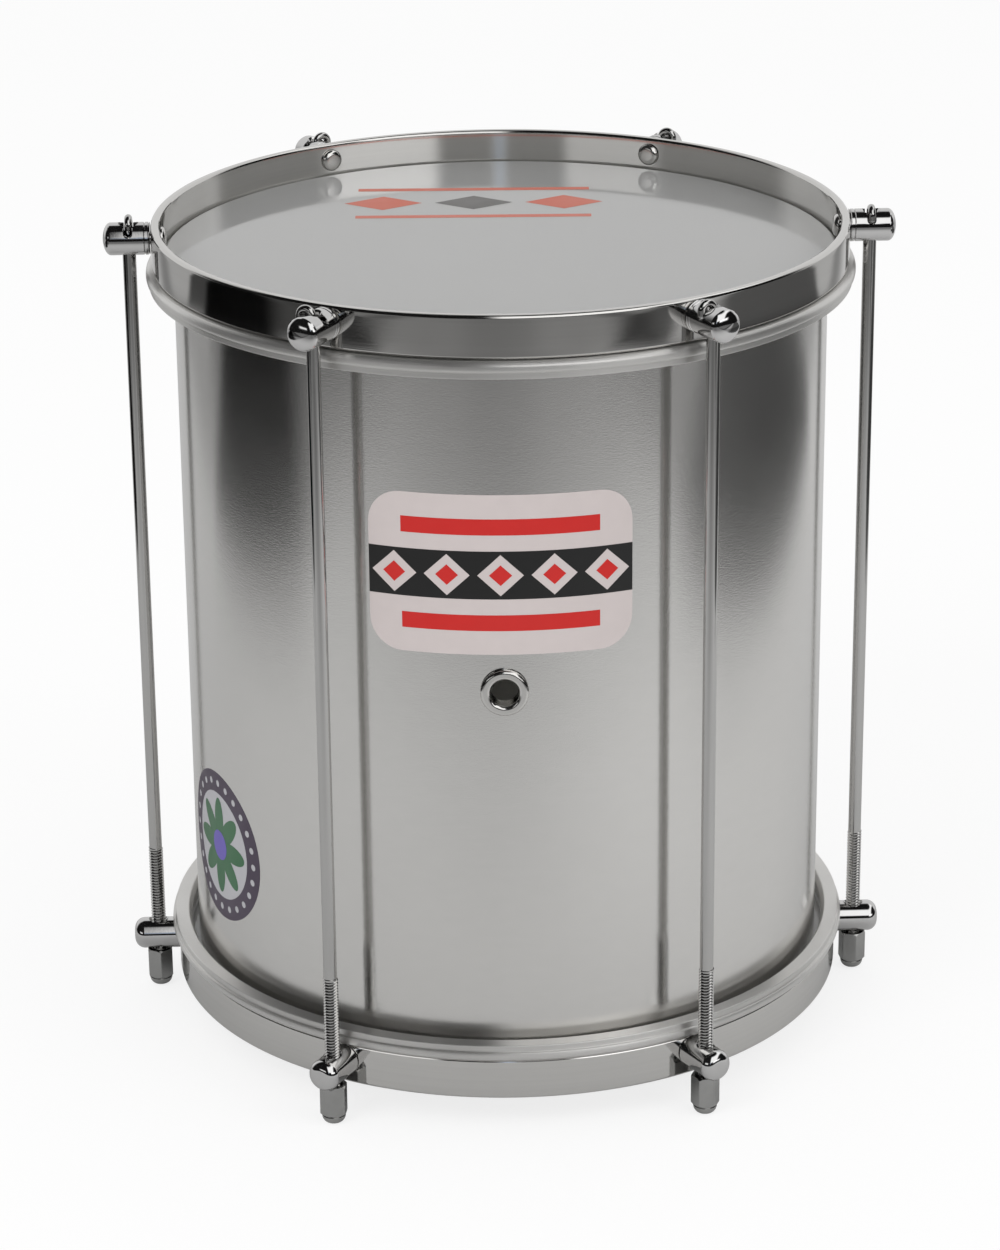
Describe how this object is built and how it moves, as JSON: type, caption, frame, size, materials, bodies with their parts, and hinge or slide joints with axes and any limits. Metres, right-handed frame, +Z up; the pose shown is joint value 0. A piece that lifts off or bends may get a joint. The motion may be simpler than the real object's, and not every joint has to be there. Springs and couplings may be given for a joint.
{
  "type": "repinique drum",
  "caption": "Small cylindrical samba drum: aluminium shell, heads tensioned between flat hoops by hooked rods with domed hex nuts under the lower posts.",
  "frame": {"origin": "on the drum's axis, in the plane of the tuning nuts' tips that the drum stands on", "axes": "+Z up along the drum's axis, -Y towards the front with the vent, +X to the viewer's right"},
  "size_m": [0.315, 0.2818, 0.3362],
  "materials": {
    "shell_aluminium": "satin, fine brushing around the shell",
    "vent_metal": "bright plated",
    "drum_film": "milky, glossy",
    "flesh_hoop_aluminium": "satin turned",
    "hoop_metal": "polished flat bar",
    "post_chrome": "mirror chrome",
    "screw_steel": "satin plated",
    "rod_steel": "bright plated",
    "nut_steel": "satin plated"
  },
  "bodies": {
    "drum_body": {"shell": "shell_aluminium", "vent_grommet": "vent_metal", "vent_washer": "vent_metal", "resonant_film": "drum_film", "resonant_flesh_hoop": "flesh_hoop_aluminium", "bottom_hoop": "hoop_metal", "bottom_post_1": "post_chrome", "bottom_post_2": "post_chrome", "bottom_post_3": "post_chrome", "bottom_post_4": "post_chrome", "bottom_post_5": "post_chrome", "bottom_post_6": "post_chrome", "bottom_post_screw_1": "screw_steel", "bottom_post_screw_2": "screw_steel", "bottom_post_screw_3": "screw_steel", "bottom_post_screw_4": "screw_steel", "bottom_post_screw_5": "screw_steel", "bottom_post_screw_6": "screw_steel"},
    "top_assembly": {"top_hoop": "hoop_metal", "batter_flesh_hoop": "flesh_hoop_aluminium", "batter_film": "drum_film", "top_post_1": "post_chrome", "top_post_2": "post_chrome", "top_post_3": "post_chrome", "top_post_4": "post_chrome", "top_post_5": "post_chrome", "top_post_6": "post_chrome", "top_post_screw_1": "screw_steel", "top_post_screw_2": "screw_steel", "top_post_screw_3": "screw_steel", "top_post_screw_4": "screw_steel", "top_post_screw_5": "screw_steel", "top_post_screw_6": "screw_steel", "tension_rod_1": "rod_steel", "tension_rod_2": "rod_steel", "tension_rod_3": "rod_steel", "tension_rod_4": "rod_steel", "tension_rod_5": "rod_steel", "tension_rod_6": "rod_steel"},
    "nut_1": {"tuning_nut_1": "nut_steel"},
    "nut_2": {"tuning_nut_2": "nut_steel"},
    "nut_3": {"tuning_nut_3": "nut_steel"},
    "nut_4": {"tuning_nut_4": "nut_steel"},
    "nut_5": {"tuning_nut_5": "nut_steel"},
    "nut_6": {"tuning_nut_6": "nut_steel"}
  },
  "joints": [
    {"name": "top_hoop_lift", "type": "slide", "parent": "drum_body", "child": "top_assembly", "axis": [0, 0, 1], "range_m": [0, 0.006]},
    {"name": "nut_1_turn", "type": "hinge", "parent": "drum_body", "child": "nut_1", "pos_m": [0.14721, 0.00514, 0.008], "axis": [0, 0, 1], "range_deg": [-1710, 0]},
    {"name": "nut_2_turn", "type": "hinge", "parent": "drum_body", "child": "nut_2", "pos_m": [0.06915, 0.13006, 0.008], "axis": [0, 0, 1], "range_deg": [-1710, 0]},
    {"name": "nut_3_turn", "type": "hinge", "parent": "drum_body", "child": "nut_3", "pos_m": [-0.07806, 0.12492, 0.008], "axis": [0, 0, 1], "range_deg": [-1710, 0]},
    {"name": "nut_4_turn", "type": "hinge", "parent": "drum_body", "child": "nut_4", "pos_m": [-0.14721, -0.00514, 0.008], "axis": [0, 0, 1], "range_deg": [-1710, 0]},
    {"name": "nut_5_turn", "type": "hinge", "parent": "drum_body", "child": "nut_5", "pos_m": [-0.06915, -0.13006, 0.008], "axis": [0, 0, 1], "range_deg": [-1710, 0]},
    {"name": "nut_6_turn", "type": "hinge", "parent": "drum_body", "child": "nut_6", "pos_m": [0.07806, -0.12492, 0.008], "axis": [0, 0, 1], "range_deg": [-1710, 0]}
  ],
  "couplings": [
    {"joint": "nut_1_turn", "follows": "top_hoop_lift", "rad_per_m": -4947.4},
    {"joint": "nut_2_turn", "follows": "top_hoop_lift", "rad_per_m": -4947.4},
    {"joint": "nut_3_turn", "follows": "top_hoop_lift", "rad_per_m": -4947.4},
    {"joint": "nut_4_turn", "follows": "top_hoop_lift", "rad_per_m": -4947.4},
    {"joint": "nut_5_turn", "follows": "top_hoop_lift", "rad_per_m": -4947.4},
    {"joint": "nut_6_turn", "follows": "top_hoop_lift", "rad_per_m": -4947.4}
  ]
}
